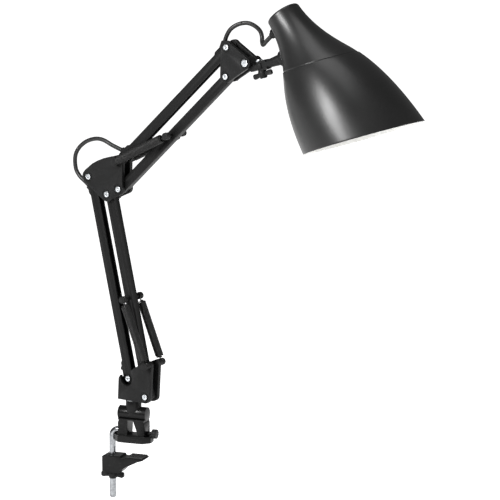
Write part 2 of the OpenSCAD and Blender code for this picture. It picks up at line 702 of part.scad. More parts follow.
module elbow_flex_loop() color(rubber) at(c) tube(smooth(elbow_route), flex_d / 2);
module head_flex_loop() color(rubber) at(f) tube(smooth(head_route), flex_d / 2);

clamp_body();
foot_pad();
socket_bush();
clamp_rod();
end_screw();
lower_jaw();
jaw_pad();
clamp_wing_nut();
swivel_spigot();
crank_plate_near();
crank_plate_far();
crank_core();
crank_bolts();
crank_nuts();
crank_spring_pegs();
rear_bar();
rear_bar_lower_bush();
rear_bar_upper_bush();
rear_bar_flex();
front_bar();
front_bar_plugs();
lower_spring_pin();
lower_spring_near();
lower_spring_far();
elbow_plate_near();
elbow_plate_far();
elbow_core();
elbow_bolts();
elbow_nuts();
elbow_spring_pin();
top_bar();
top_bar_lower_bush();
top_bar_upper_bush();
top_bar_flex();
bottom_bar();
bottom_bar_plugs();
upper_spring_pin();
upper_spring_near();
upper_spring_far();
head_plate_near();
head_plate_far();
head_core();
head_bolts();
head_nuts();
tilt_bolt();
tilt_nut();
tilt_lever();
pan_bolt();
pan_wing_nut();
head_stem();
stem_flange();
stem_locknuts();
shade_neck();
shade_skirt();
lampholder_shell();
lampholder_thread();
lampholder_contact();
neck_bush();
elbow_flex_loop();
head_flex_loop();
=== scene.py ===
# %% [markdown]
# A clamp-on desk lamp: two sprung parallelogram arms, a tilting head and a bell shade.
#
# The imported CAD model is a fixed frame. Its nodes say where everything is and which body
# carries it, so this script only adds what CAD can't show: soft edges, the close-wound
# springs, the smooth sweep of the flex, the rolled rim of the shade and every finish.

import json
from math import cos, pi, radians, sin, tan

import bmesh
import bpy
import numpy as np
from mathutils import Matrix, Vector

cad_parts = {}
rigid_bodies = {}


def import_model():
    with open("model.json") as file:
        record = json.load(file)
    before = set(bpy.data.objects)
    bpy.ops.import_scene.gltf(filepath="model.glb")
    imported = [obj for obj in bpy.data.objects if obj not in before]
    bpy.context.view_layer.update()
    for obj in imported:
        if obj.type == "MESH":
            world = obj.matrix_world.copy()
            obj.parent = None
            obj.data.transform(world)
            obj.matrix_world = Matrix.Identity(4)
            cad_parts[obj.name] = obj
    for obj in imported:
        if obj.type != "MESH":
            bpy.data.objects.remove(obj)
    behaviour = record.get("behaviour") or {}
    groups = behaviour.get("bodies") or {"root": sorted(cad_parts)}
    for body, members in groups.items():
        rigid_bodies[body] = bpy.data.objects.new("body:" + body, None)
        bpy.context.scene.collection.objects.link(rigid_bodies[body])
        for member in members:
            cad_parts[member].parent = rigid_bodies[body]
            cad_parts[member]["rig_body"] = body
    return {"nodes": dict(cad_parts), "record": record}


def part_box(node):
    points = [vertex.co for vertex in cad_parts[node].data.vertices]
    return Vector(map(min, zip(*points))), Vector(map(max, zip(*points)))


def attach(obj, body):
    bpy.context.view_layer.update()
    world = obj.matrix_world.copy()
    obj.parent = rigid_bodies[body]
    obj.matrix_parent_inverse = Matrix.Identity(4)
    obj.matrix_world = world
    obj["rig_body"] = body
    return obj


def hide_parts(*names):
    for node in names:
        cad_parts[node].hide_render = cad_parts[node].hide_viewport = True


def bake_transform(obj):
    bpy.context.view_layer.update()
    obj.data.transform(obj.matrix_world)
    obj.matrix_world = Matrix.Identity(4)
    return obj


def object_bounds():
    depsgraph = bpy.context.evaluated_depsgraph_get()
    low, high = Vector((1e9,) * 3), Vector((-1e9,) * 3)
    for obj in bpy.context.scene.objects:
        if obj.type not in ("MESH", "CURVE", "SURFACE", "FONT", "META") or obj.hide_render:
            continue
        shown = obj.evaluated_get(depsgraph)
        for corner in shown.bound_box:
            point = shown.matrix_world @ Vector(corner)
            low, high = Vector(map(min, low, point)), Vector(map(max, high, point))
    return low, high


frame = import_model()
cad_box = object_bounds()
MM = 0.001

# %% [markdown]
# The camera stands four metres off with a long lens, so the lamp is drawn with hardly any
# perspective. It looks from the right of the arm's own plane and a little from above. It
# comes first, because everything after it is judged through it.

# %% Camera
CAMERA_AZIMUTH, CAMERA_RISE, CAMERA_DISTANCE = radians(36), radians(11), 4.0
LOOK_AT = Vector((0.0895, 0.1207, 0.2316))
towards_camera = Vector((
    sin(CAMERA_AZIMUTH) * cos(CAMERA_RISE),
    -cos(CAMERA_AZIMUTH) * cos(CAMERA_RISE),
    sin(CAMERA_RISE),
))
camera = bpy.data.objects.new("camera", bpy.data.cameras.new("camera"))
camera.data.sensor_width = 36
camera.data.lens = 233.2
camera.data.clip_end = 30
camera.location = LOOK_AT + towards_camera * CAMERA_DISTANCE
camera.rotation_euler = towards_camera.to_track_quat("Z", "Y").to_euler()
bpy.context.collection.objects.link(camera)
bpy.context.scene.camera = camera
print("camera at", [round(x, 3) for x in camera.location])

# %% [markdown]
# Black paint shows a lamp's form only through what it mirrors. So the light comes from
# large soft panels: each one draws a broad, soft-edged streak along the curved metal. One
# tall panel by the camera's left draws the streak down the bell, one overhead catches the
# top faces, and a narrow one far on the right draws the thin line along the shade's edge.

# %% Floor and lights
def panel(name, place, aim, size, power):
    """White rectangular area light of a size (across, up) at a place, turned to face a point."""
    light = bpy.data.lights.new(name, "AREA")
    light.shape, light.size, light.size_y = "RECTANGLE", size[0], size[1]
    light.energy = power
    thing = bpy.data.objects.new(name, light)
    thing.location = place
    thing.rotation_euler = (Vector(place) - Vector(aim)).to_track_quat("Z", "Y").to_euler()
    bpy.context.collection.objects.link(thing)


SHADE_MIDDLE = Vector((0.29, 0.0, 0.46))
panel("key", (-0.30, -1.90, 1.42), SHADE_MIDDLE, (0.55, 1.00), 85)
panel("fill", (2.4, -2.2, 0.5), LOOK_AT, (1.8, 1.8), 10)
panel("top", (0.1, -0.3, 2.3), LOOK_AT, (1.4, 1.0), 16)
panel("edge", (1.9, 0.9, 0.7), SHADE_MIDDLE, (0.25, 1.5), 16)
panel("back", (-1.2, 1.4, 0.9), LOOK_AT, (0.5, 1.4), 0.5)

WORLD_STRENGTH = 0.16
world = bpy.data.worlds.new("studio")
world.use_nodes = True
background = world.node_tree.nodes["Background"]
background.inputs["Color"].default_value = (1.0, 1.0, 1.0, 1)
background.inputs["Strength"].default_value = WORLD_STRENGTH
bpy.context.scene.world = world
bpy.context.scene.view_settings.view_transform = "Standard"

FLOOR_DROP, FLOOR_HALF = 0.30, 14
FLOOR_Z = cad_box[0][2] - FLOOR_DROP
floor_corners = [(x * FLOOR_HALF, y * FLOOR_HALF, FLOOR_Z) for x, y in ((-1, -1), (1, -1), (1, 1), (-1, 1))]
floor_mesh = bpy.data.meshes.new("floor")
floor_mesh.from_pydata(floor_corners, [], [(0, 1, 2, 3)])
floor = bpy.data.objects.new("floor", floor_mesh)
bpy.context.collection.objects.link(floor)
print("floor at", round(FLOOR_Z, 3))

# %% [markdown]
# Every finish is worked out from Object coordinates in metres, so grain keeps its real size
# and stays put when a joint turns. Shader maths reads best as arithmetic, so `Value` wraps a
# socket and turns `a * b + 1` into Math nodes. `Finish` adds any other node by its type.

# %% Shader kit
class Value:
    """A shader socket that adds Math nodes when it is used in an expression."""

    def __init__(self, finish, socket):
        self.finish, self.socket = finish, socket

    def math(self, operation, *others):
        return self.finish.add("ShaderNodeMath", {"operation": operation}, *others)

    def __add__(self, other):
        return self.math("ADD", self, other)

    def __sub__(self, other):
        return self.math("SUBTRACT", self, other)

    def __rsub__(self, other):
        return self.math("SUBTRACT", other, self)

    def __mul__(self, other):
        return self.math("MULTIPLY", self, other)

    __radd__, __rmul__ = __add__, __mul__

    def step(self, low, high):
        """0 below low, 1 above high, smooth between."""
        ranges = {"interpolation_type": "SMOOTHSTEP"}
        return self.finish.add("ShaderNodeMapRange", ranges, self, low, high, 0.0, 1.0)


class Finish:
    """A procedural material: one Principled shader and the nodes that feed it."""

    made = {}

    def __init__(self, name):
        self.material = bpy.data.materials.new(name)
        self.material.use_nodes = True
        self.nodes, self.links = self.material.node_tree.nodes, self.material.node_tree.links
        self.shader = self.nodes["Principled BSDF"]
        self.here = self.add("ShaderNodeTexCoord", {}, out="Object")
        Finish.made[name] = self.material

    def add(self, kind, settings, *values, out=0, **named):
        """New node of a kind: its settings, then its inputs by order or by name."""
        node = self.nodes.new(kind)
        for key, setting in settings.items():
            setattr(node, key, setting)
        by_name = [(node.inputs[key.replace("_", " ")], value) for key, value in named.items()]
        for socket, value in [*zip(node.inputs, values), *by_name]:
            if isinstance(value, Value):
                self.links.new(value.socket, socket)
            elif value is not None:
                socket.default_value = value
        return Value(self, node.outputs[out])

    def noise(self, grain, detail=3.0, stretch=(1, 1, 1)):
        """Noise whose blobs are about `grain` millimetres across, stretched along an axis."""
        place = self.add("ShaderNodeMapping", {}, self.here, Scale=tuple(1000 / grain / s for s in stretch))
        return self.add("ShaderNodeTexNoise", {}, Vector=place, Scale=1.0, Detail=detail)

    def mix(self, mask, low, high):
        """Colour between two colours by a mask."""
        number_sockets = [None] * 5
        return self.add("ShaderNodeMix", {"data_type": "RGBA"}, mask, *number_sockets, low, high, out=2)

    def relief(self, height, depth, strength=1.0):
        """Bump of a depth in millimetres from a height of 0 to 1."""
        sockets = {"Height": height, "Strength": strength, "Distance": depth * MM}
        return self.add("ShaderNodeBump", {}, out="Normal", **sockets)

    def set(self, **sockets):
        """Feeds the Principled shader: plain numbers stay on the socket itself."""
        for name, value in sockets.items():
            socket = self.shader.inputs[name.replace("_", " ")]
            if isinstance(value, Value):
                self.links.new(value.socket, socket)
            else:
                socket.default_value = value
        return self.material


def grey(level, warm=0.0):
    """Opaque grey of a linear level, a little warmer or cooler."""
    return (level * (1 + warm), level, level * (1 - warm), 1.0)


print("shader kit ready")

# %% [markdown]
# The floor is matt white paper that glows by its own emission, which is painted light: fully
# white far out, and kept dimmer close to the object, so that black paint still has something
# darker to mirror. The mask goes by distance from the lamp alone, so it is the same from every side.

# %% Paper of the floor
paper = Finish("floor_paper")
reach = paper.add("ShaderNodeVectorMath", {"operation": "LENGTH"}, paper.here, out="Value")
far, fibre = reach.step(0.60, 1.00), paper.noise(2, 3)
paper.set(
    Base_Color=paper.mix(fibre, grey(0.74), grey(0.80)),
    Roughness=0.9 + 0.05 * fibre,
    # painted light: the floor glows at 0.3 within 0.6 m of the lamp and fully white past 1 m
    Emission_Color=paper.mix(far, grey(0.30), grey(1.0)),
    Emission_Strength=1.0,
)
floor_mesh.materials.append(paper.material)

# %% [markdown]
# The brackets, bushes and knobs are moulded in glass-filled nylon. It comes out of the tool
# with a fine spark-eroded grain, dull and even, and it shines a little where hands and the
# turning bars have rubbed it. Two sizes of noise make the grain, and a broad patchy mask
# moves roughness and shade between fresh and handled.

# %% Moulded nylon, powder coat and spring black
def moulded_nylon(name, level, rough):
    f = Finish(name)
    handled = f.noise(26, 4).step(0.42, 0.68)
    grain, pits = f.noise(0.35, 2), f.noise(0.9, 2)
    dust = f.noise(5, 5).step(0.60, 0.78)
    return f.set(
        Specular_IOR_Level=0.13,
        Base_Color=f.mix(
            dust * 0.2, f.mix(handled, grey(level), grey(level * 1.35, -0.02)), grey(0.05, 0.03)
        ),
        Roughness=rough - 0.10 * handled + 0.10 * grain + 0.06 * dust,
        Normal=f.relief(grain * 0.6 + pits * 0.4, 0.05, 0.8),
    )


def powder_coat(name, level, rough):
    """Baked powder: a soft orange-peel skin over steel, with faint lengthwise rubbing."""
    f = Finish(name)
    peel, grain = f.noise(1.3, 2), f.noise(0.4, 2)
    rubbed = f.noise(3, 4, (1, 1, 9)).step(0.48, 0.74)
    return f.set(
        Specular_IOR_Level=0.13,
        Base_Color=f.mix(rubbed, grey(level), grey(level * 1.4, -0.02)),
        Roughness=rough + 0.12 * grain - 0.08 * rubbed,
        Normal=f.relief(peel * 0.7 + grain * 0.3, 0.06, 0.7),
    )


def spring_steel(name):
    """Oiled, blackened wire: part metal, with a worn glint here and there."""
    f = Finish(name)
    worn = f.noise(2.2, 4).step(0.52, 0.78)
    streak = f.noise(0.3, 2)
    return f.set(
        Specular_IOR_Level=0.3,
        Base_Color=f.mix(worn, grey(0.008), grey(0.04, 0.03)),
        Metallic=0.2 + 0.4 * worn,
        Roughness=0.40 + 0.14 * streak - 0.08 * worn,
        Normal=f.relief(streak, 0.012),
    )


moulded_nylon("plate_black", 0.006, 0.46)
moulded_nylon("knob_black", 0.007, 0.42)
powder_coat("bar_black", 0.004, 0.40)
spring_steel("spring_black")
print("made", ", ".join(Finish.made))

# %% [markdown]
# The shade is sprayed with semi-gloss stove enamel. From a metre away it looks smooth, yet
# the streak of light on it has slightly soft, wavering edges. That comes from a very shallow
# orange peel, so the bump is only a few microns deep, under a thin clear coat. Inside, the
# enamel is white and flatter, with broad patches a little warmer and darker at random.

# %% Enamel of the shade, outside and inside
def stove_enamel(name, level):
    f = Finish(name)
    peel, haze = f.noise(3.2, 2), f.noise(40, 3)
    specks = f.noise(0.8, 1).step(0.70, 0.78)
    return f.set(
        Specular_IOR_Level=0.25,
        Base_Color=f.mix(specks * 0.3, f.mix(haze, grey(level), grey(level * 1.5)), grey(0.04)),
        Roughness=0.31 + 0.10 * haze + 0.10 * specks,
        Normal=f.relief(peel, 0.018, 0.6),
        Coat_Weight=0.12,
        Coat_Roughness=0.25,
    )


def white_enamel(name):
    f = Finish(name)
    peel, haze = f.noise(2.2, 2), f.noise(30, 4)
    return f.set(
        Base_Color=f.mix(haze.step(0.35, 0.7), (0.80, 0.80, 0.79, 1), (0.72, 0.71, 0.68, 1)),
        Roughness=0.42 + 0.14 * peel,
        Normal=f.relief(peel, 0.02, 0.6),
    )


stove_enamel("shade_black", 0.007)
white_enamel("shade_white")
print("shade enamels ready")

# %% [markdown]
# The clamp is a die casting under glossy black paint. Castings have a broad, slightly lumpy
# skin where the paint has flowed, with scuffs scattered over it. The bolts are zinc
# plated: pale metal with a faint blue tint and turning marks. The bent rod is bright nickel,
# drawn lengthwise, so its scratches run along it.

# %% Casting paint and bright metals
def casting_paint(name):
    f = Finish(name)
    lumps, grain = f.noise(4.5, 3), f.noise(0.6, 2)
    scuffs = f.noise(2.6, 5, (3, 1, 1)).step(0.62, 0.74)
    return f.set(
        Specular_IOR_Level=0.10,
        Base_Color=f.mix(scuffs * 0.5, grey(0.004), grey(0.030, 0.02)),
        Roughness=0.24 + 0.10 * grain + 0.22 * scuffs,
        Normal=f.relief(lumps * 0.8 + grain * 0.2, 0.09, 0.7),
        Coat_Weight=0.06,
        Coat_Roughness=0.12,
    )


def plated(name, bright, dull, rough, grain, stretch):
    """Bright plating between two colours, with fine marks stretched along one axis."""
    f = Finish(name)
    marks, stain = f.noise(grain, 3, stretch), f.noise(2.5, 4).step(0.4, 0.75)
    return f.set(
        Base_Color=f.mix(stain, bright, dull),
        Metallic=1.0,
        Roughness=rough + 0.16 * marks + 0.10 * stain,
        Normal=f.relief(marks, 0.01, 0.6),
    )


casting_paint("clamp_black")
plated("zinc_fastener", (0.60, 0.62, 0.64, 1), (0.38, 0.40, 0.41, 1), 0.24, 0.3, (1, 4, 1))
plated("bright_rod", (0.27, 0.28, 0.29, 1), (0.15, 0.15, 0.16, 1), 0.10, 0.25, (1, 1, 25))
plated("brass_thread", (0.80, 0.60, 0.26, 1), (0.55, 0.40, 0.18, 1), 0.24, 0.4, (1, 1, 1))
print("bright metals ready")

# %% [markdown]
# The flex has a soft PVC jacket. Extruding it leaves a satin skin with very fine lengthwise
# lines, and it picks up a little lint. The pads are plain rubber, dull and dusty, and the
# lampholder is black phenolic, which is glossier and a touch brown.

# %% Flex jacket, rubber and phenolic
def soft_jacket(name):
    f = Finish(name)
    skin, lint = f.noise(0.5, 2), f.noise(1.6, 5).step(0.62, 0.75)
    return f.set(
        Specular_IOR_Level=0.35,
        Base_Color=f.mix(lint * 0.2, grey(0.006), grey(0.06, 0.04)),
        Roughness=0.36 + 0.14 * skin + 0.1 * lint,
        Normal=f.relief(skin, 0.02, 0.7),
    )


def rubber(name):
    f = Finish(name)
    grain, dust = f.noise(0.5, 3), f.noise(7, 5).step(0.5, 0.75)
    return f.set(
        Base_Color=f.mix(dust, grey(0.015), grey(0.05, 0.04)),
        Roughness=0.72 + 0.15 * grain,
        Normal=f.relief(grain, 0.08, 0.8),
    )


def phenolic(name):
    f = Finish(name)
    flow, skin = f.noise(9, 4, (1, 1, 2)), f.noise(0.8, 2)
    return f.set(
        Base_Color=f.mix(flow, (0.012, 0.011, 0.010, 1), (0.024, 0.020, 0.017, 1)),
        Roughness=0.26 + 0.10 * flow,
        Normal=f.relief(skin, 0.02, 0.6),
    )


soft_jacket("flex_black")
rubber("rubber_pad")
phenolic("holder_black")
print(len(Finish.made), "finishes in all")

# %% [markdown]
# A new piece is a grid of points worked out as one array, and every four neighbours make a
# face. Whether a grid faces outwards depends on which way its rows and columns run, and that
# is easy to get wrong. So the signed volume decides: the sum of each face's tetrahedron with
# the origin comes out negative when a closed surface is inside out, and then it is reversed.

# %% Grids into meshes
def skin(name, grid, rows_close=False, white=(0, 0)):
    """Mesh over points[row, column]: columns wrap round, and rows too where rows_close.
    Otherwise the first and last rows are capped by fans to their own middles. Rows of faces
    from white[0] up to white[1] take the second finish."""
    if not rows_close:
        ends = [np.broadcast_to(grid[k].mean(0), grid[k].shape)[None] for k in (0, -1)]
        grid = np.concatenate([ends[0], grid, ends[1]])
    rows, columns = grid.shape[:2]
    number = np.arange(rows * columns).reshape(rows, columns)
    here = number if rows_close else number[:-1]
    below = np.roll(number, -1, 0) if rows_close else number[1:]
    quads = np.stack([here, below, np.roll(below, -1, 1), np.roll(here, -1, 1)], -1).reshape(-1, 4)
    points = grid.reshape(-1, 3)
    corner = points[quads]
    halves = np.cross(corner[:, 1], corner[:, 2]) + np.cross(corner[:, 2], corner[:, 3])
    volume = np.einsum("ij,ij->", corner[:, 0], halves)
    if volume < 0:
        quads = quads[:, ::-1]
    mesh = bpy.data.meshes.new(name)
    mesh.from_pydata((points * MM).tolist(), [], quads.tolist())
    row = np.arange(len(here)).repeat(columns)
    mesh.polygons.foreach_set("material_index", ((row >= white[0]) & (row < white[1])).astype(np.int32))
    shell = bmesh.new()
    shell.from_mesh(mesh)
    bmesh.ops.remove_doubles(shell, verts=shell.verts, dist=1e-7)
    shell.to_mesh(mesh)
    shell.free()
    mesh.polygons.foreach_set("use_smooth", np.ones(len(mesh.polygons), bool))
    return mesh


record_slots = {material["slot"] for material in frame["record"]["materials"]}


def place(name, mesh, finishes, body=None, nodes=()):
    """Object for a mesh, with its finishes, its body, and the CAD nodes that it stands for."""
    thing = bpy.data.objects.new(name, mesh)
    bpy.context.collection.objects.link(thing)
    for finish in finishes:
        mesh.materials.append(Finish.made[finish])
    if nodes:
        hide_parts(*nodes)
    finishes[0] if finishes[0] in record_slots else "plate_black"
    if body:
        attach(thing, body)
    print(f"{name}: {len(mesh.polygons)} faces")
    return thing


# %% [markdown]
# The pivots are worked out again here from the two arm lengths and their angles, just as the
# CAD source does, in millimetres in the arm's own XZ plane. The last line prints how far the
# tilt bolt's pivot lies from the middle of its CAD node.

# %% Pivots
def polar(length, degrees):
    return np.array([length * cos(radians(degrees)), length * sin(radians(degrees))])


def in_space(p, y=0.0):
    """Point of the arm's plane, in space."""
    return np.array([p[0], y, p[1]])


LOWER_TURN, UPPER_TURN = 103, 43
pin_a = np.array([-3.4, 80.0])
pin_b = pin_a + (28.5, -19)
pin_c = pin_a + polar(253, LOWER_TURN)
pin_e = pin_b + polar(253, LOWER_TURN) + (17.8, 8)
pin_i = pin_e + (1, 35)
pin_f = pin_i + polar(222, UPPER_TURN)
pin_h = pin_e + polar(222, UPPER_TURN) + (28.2, 18.2)
pan = pin_h + (16.2, -3.7)
crank_peg = pin_b + (6, 41)
lower_pin = pin_b + polar(0.485 * 253, LOWER_TURN)
upper_pin = pin_e + polar(0.485 * 222, UPPER_TURN)
low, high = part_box("tilt_bolt")
print("tilt bolt is off by", np.round(pin_h - [(low.x + high.x) * 500, (low.z + high.z) * 500], 2), "mm")

# %% [markdown]
# The shade is spun from two sheets: a neck, and a skirt that laps over the neck's lower edge
# with a small step. Both follow one outline, a rounded top corner and then two Bezier
# stretches. The shoulder and the rim are cut by planes that slope, so they aren't rings of
# the outline. For each direction round the axis, the sheet runs as far as the plane does.
# The neck is pressed in by half a millimetre just above the lap, which draws the dark seam.

# %% Outline of the shade
WALL, STEP, NECK_R, CORNER = 1.2, 0.7, 20.8, 3.0
SHADE_TILT, RIM_SLOPE = radians(39.5), radians(19)
SHOULDER_AT, RIM_AT = 74, 178
crown = in_space(pan + (31.2, 65.6))
down = np.array([sin(SHADE_TILT), 0, -cos(SHADE_TILT)])
stemward = np.array([-cos(SHADE_TILT), 0, -sin(SHADE_TILT)])
across = np.array([0.0, 1.0, 0.0])


def bezier(points, t):
    """Cubic Bezier: the four points weighted by (1-t)^3, 3t(1-t)^2, 3t^2(1-t) and t^3."""
    weights = np.stack([(1 - t) ** 3, 3 * t * (1 - t) ** 2, 3 * t * t * (1 - t), t**3], -1)
    return weights @ np.array(points, float)


turn = np.linspace(0, pi / 2, 20)
outline = np.concatenate([
    np.stack([np.linspace(0, NECK_R - CORNER, 12), np.zeros(12)], -1)[:-1],
    np.stack([NECK_R - CORNER + CORNER * np.sin(turn), CORNER - CORNER * np.cos(turn)], -1),
    bezier([[NECK_R, CORNER], [22, 28], [30, 50], [43, 75]], np.linspace(0, 1, 120)[1:]),
    bezier([[43, 75], [55, 98], [69, 135], [71, 210]], np.linspace(0, 1, 200)[1:]),
])
arc = np.concatenate([[0], np.cumsum(np.hypot(*np.diff(outline, axis=0).T))])
run = np.stack([np.gradient(outline[:, 0], arc), np.gradient(outline[:, 1], arc)], -1)
run /= np.hypot(*run.T)[:, None]
outward = np.stack([run[:, 1], -run[:, 0]], -1)
print("outline of", len(outline), "points,", round(arc[-1]), "mm long")


# %% [markdown]
# `spun` carries the outline round the axis. Each sheet is one closed skin: down the outside,
# round a half-circle lip, back up the inside, and round a second lip if it has an open top.

# %% Neck and skirt of the shade
ROUND = np.linspace(0, 2 * pi, 144, endpoint=False)


def cut_length(crossing):
    """Arc length at which a sloping plane cuts the outline, for each direction round the axis."""
    reach = outline[:, 1, None] + outline[:, 0, None] * np.cos(ROUND) * tan(SHADE_TILT - RIM_SLOPE)
    return np.array([np.interp(crossing, column, arc) for column in reach.T])


def spun(length, grow):
    """Points at arc lengths [row, direction], grown outwards along the outline's normal."""
    r, s, nr, ns = (np.interp(length, arc, line) for line in (*outline.T, *outward.T))
    r, s = r + grow * nr, s + grow * ns
    side = np.cos(ROUND)[:, None] * stemward + np.sin(ROUND)[:, None] * across
    return crown + r[..., None] * side + s[..., None] * down


def lip(outside, inside, before):
    """Half circle from an outer to an inner edge, bulging away from the row before it."""
    middle, half = (outside + inside) / 2, (outside - inside) / 2
    ahead = outside - before
    ahead *= np.linalg.norm(half, axis=-1, keepdims=True) / np.linalg.norm(ahead, axis=-1, keepdims=True)
    angle = np.linspace(0, pi, 7)[1:-1, None, None]
    return middle + np.cos(angle) * half + np.sin(angle) * ahead


def sheet(name, lengths, grow, open_top):
    """Sheet metal skin over rows of arc lengths, black outside and white inside."""
    outer, inner = spun(lengths, grow), spun(lengths, grow - WALL)
    parts = [outer, lip(outer[-1], inner[-1], outer[-2]), inner[::-1]]
    if open_top:
        parts.append(lip(outer[0], inner[0], outer[1])[::-1])
    first = len(outer) + (3 if open_top else 4)
    return skin(name, np.concatenate(parts), open_top, (first, 2 * len(outer) + 5))


shoulder, rim = cut_length(SHOULDER_AT), cut_length(RIM_AT)
NECK_FROM, LAP, SEAM_FROM = 30, 1.5, 2.8
GROOVE_DEEP, GROOVE_WIDE, GROOVE_ABOVE = 0.5, 0.7, 0.9
top_edge = NECK_R - CORNER
top_rows = np.concatenate([np.linspace(0.3, top_edge, 6), top_edge + CORNER * turn[1:], [26, NECK_FROM]])
neck_rows = NECK_FROM + np.linspace(0, 1, 36)[1:, None] * (shoulder - 3 - NECK_FROM)
seam_rows = shoulder + np.linspace(-SEAM_FROM, LAP, 18)[:, None]
neck_lengths = np.concatenate([np.repeat(top_rows[:, None], len(ROUND), 1), neck_rows, seam_rows])
groove = -GROOVE_DEEP * np.exp(-(((neck_lengths - shoulder + GROOVE_ABOVE) / GROOVE_WIDE) ** 2))
skirt_lengths = shoulder + np.linspace(0, 1, 64)[:, None] * (rim - shoulder - WALL / 2)
for part, lengths, grow, open_top in (
    ("shade_neck", neck_lengths, groove, False), ("shade_skirt", skirt_lengths, STEP, True),
):
    name = part + "_sheet"
    place(name, sheet(name, lengths, grow, open_top), ["shade_black", "shade_white"], "head", [part])

# %% [markdown]
# Wire and cord are round sections carried along a line. Each ring stands square to the line,
# and needs a second direction that never runs along it. A plane curve has one ready made, the
# normal of its plane, and a helix has its own axis. The rings then don't twist on the way.

# %% Round section along a line
def tube(line, radius, steady, sides=14):
    """Rings of a radius round each point of a line, turned from the direction `steady`."""
    ahead = np.gradient(line, axis=0)
    ahead /= np.linalg.norm(ahead, axis=1, keepdims=True)
    aside = steady - (ahead @ steady)[:, None] * ahead
    aside /= np.linalg.norm(aside, axis=1, keepdims=True)
    upward = np.cross(ahead, aside)
    angle = np.linspace(0, 2 * pi, sides, endpoint=False)[:, None]
    return line[:, None] + radius * (np.cos(angle) * aside[:, None] + np.sin(angle) * upward[:, None])


def joined(name, meshes):
    """One mesh out of several."""
    whole = bmesh.new()
    for mesh in meshes:
        whole.from_mesh(mesh)
        bpy.data.meshes.remove(mesh)
    result = bpy.data.meshes.new(name)
    whole.to_mesh(result)
    whole.free()
    result.polygons.foreach_set("use_smooth", np.ones(len(result.polygons), bool))
    return result


# %% [markdown]
# The balance springs are close wound from thin blackened wire, coil against coil, with a loop
# turned out of each end that sits in a groove of its knob. When the arm swings, one end stays
# with the bracket and the other follows a bar. Each spring is made as two pieces, split at a
# quarter of the length, one at each pin. That doesn't keep a spring straight: near the arm's
# limits it still bows.

# %% Balance springs
WIRE_R, COIL_R, LOOP_R, LOOP_WIRE_R, SPRING_Y = 0.62, 4.65, 3.7, 0.9, 16.2


def spring(name, fixed, moving, gaps, side, joined_node):
    """Helix and end loops between two pins: angle 2 pi t / pitch, advance t along the line."""
    axis = in_space(moving - fixed)
    long = np.linalg.norm(axis)
    axis /= long
    square_on = np.cross(axis, across)
    start = in_space(fixed, side * SPRING_Y)
    pitch = 2 * WIRE_R * 1.01
    split = long / 4

    def round_axis(phase):
        """Unit vectors square to the spring's axis, one for each angle."""
        return np.cos(phase)[:, None] * square_on + np.sin(phase)[:, None] * across

    def coil(low, high):
        t = np.arange(low, high, pitch / 18)
        phase = 2 * pi * t / pitch
        return start + t[:, None] * axis + COIL_R * round_axis(phase)

    def loop(centre, towards):
        angle = np.linspace(-0.12, 2 * pi - 0.75, 40)[:, None]
        ring = centre + LOOP_R * (np.cos(angle) * towards + np.sin(angle) * square_on)
        neck = centre + towards * np.linspace(LOOP_R + 1, LOOP_R + 6, 8)[:, None]
        neck = neck - across * side * 0.15
        return [skin("loop", tube(ring, LOOP_WIRE_R, across)), skin("neck", tube(neck, LOOP_WIRE_R, across))]

    def cone(low, high, low_r, high_r):
        """The last coils draw in to the loop, as two turns of falling radius."""
        t = np.linspace(0, 1, 60)
        phase = 2 * pi * 1.75 * t
        radius = low_r + (high_r - low_r) * t * t
        line = start + (low + (high - low) * t)[:, None] * axis
        return skin("cone", tube(line + radius[:, None] * round_axis(phase), WIRE_R, axis))

    low_end, high_end = gaps[0], long - gaps[1]
    halves = {
        "fixed_end": [
            skin("coil", tube(coil(low_end, split), WIRE_R, axis, 8)),
            *loop(start, axis),
            cone(low_end + 0.6, low_end - 2.4, COIL_R, 1.0),
        ],
        "moving_end": [
            skin("coil", tube(coil(split, high_end), WIRE_R, axis, 8)),
            *loop(start + long * axis, -axis),
            cone(high_end - 0.6, high_end + 2.4, COIL_R, 1.0),
        ],
    }
    for part, meshes in halves.items():
        piece = f"{name}_{part}"
        thing = place(piece, joined(piece, meshes), ["spring_black"], nodes=[joined_node])
        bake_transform(thing)


for where, side in (("near", -1), ("far", 1)):
    for arm, fixed, moving, gaps, bodies in (
        ("lower", crank_peg, lower_pin, (7.5, 8.5), ("crank", "lower_front_bar")),
        ("upper", pin_i, upper_pin, (5.5, 8.5), ("elbow", "upper_bottom_bar")),
    ):
        node = f"{arm}_spring_{where}"
        spring(node + "_wire", fixed, moving, gaps, side, node)

# %% [markdown]
# The flex runs inside the bars and shows only where it crosses a joint in a free loop. Its
# route is a short list of points given about a pivot, the same as in the CAD source, smoothed
# by a Catmull-Rom curve. Each loop crosses more than one joint, so it is cut into stretches
# where one joint's bend is over and the next one's hasn't begun.

# %% Flex loops
FLEX_D = 5.2
elbow_route = [[-6.8, 0, -13.1], [-13.5, 0, -8.2], [-20.5, 0, -3.5], [-26.5, 0, 4], [-28.5, 0, 13.5],
    [-27.5, 0, 23.5], [-22, 0, 32.5], [-12, 0, 40.5], [-1, 0, 45], [9, 0, 46.5], [18.5, 0, 45], [28, 0, 41.2],
    [37, 0, 38.3], [45.5, 0, 35.8]]
head_route = [[-9, 0, 4.7], [-6, 0, 12.5], [-1, 0.5, 20], [5.5, 2.5, 25], [13.5, 4.5, 28], [21.5, 7, 28.2],
    [29, 9.5, 24.8], [34.2, 11.5, 19.5], [36.8, 11.5, 13.4], [38.8, 9, 8.4], [42.8, 4.5, 5.4], [47.4, 0, 5.8],
    [51.6, -1.5, 9.2], [55.4, -0.8, 13.2], [58.8, 0, 16.6]]


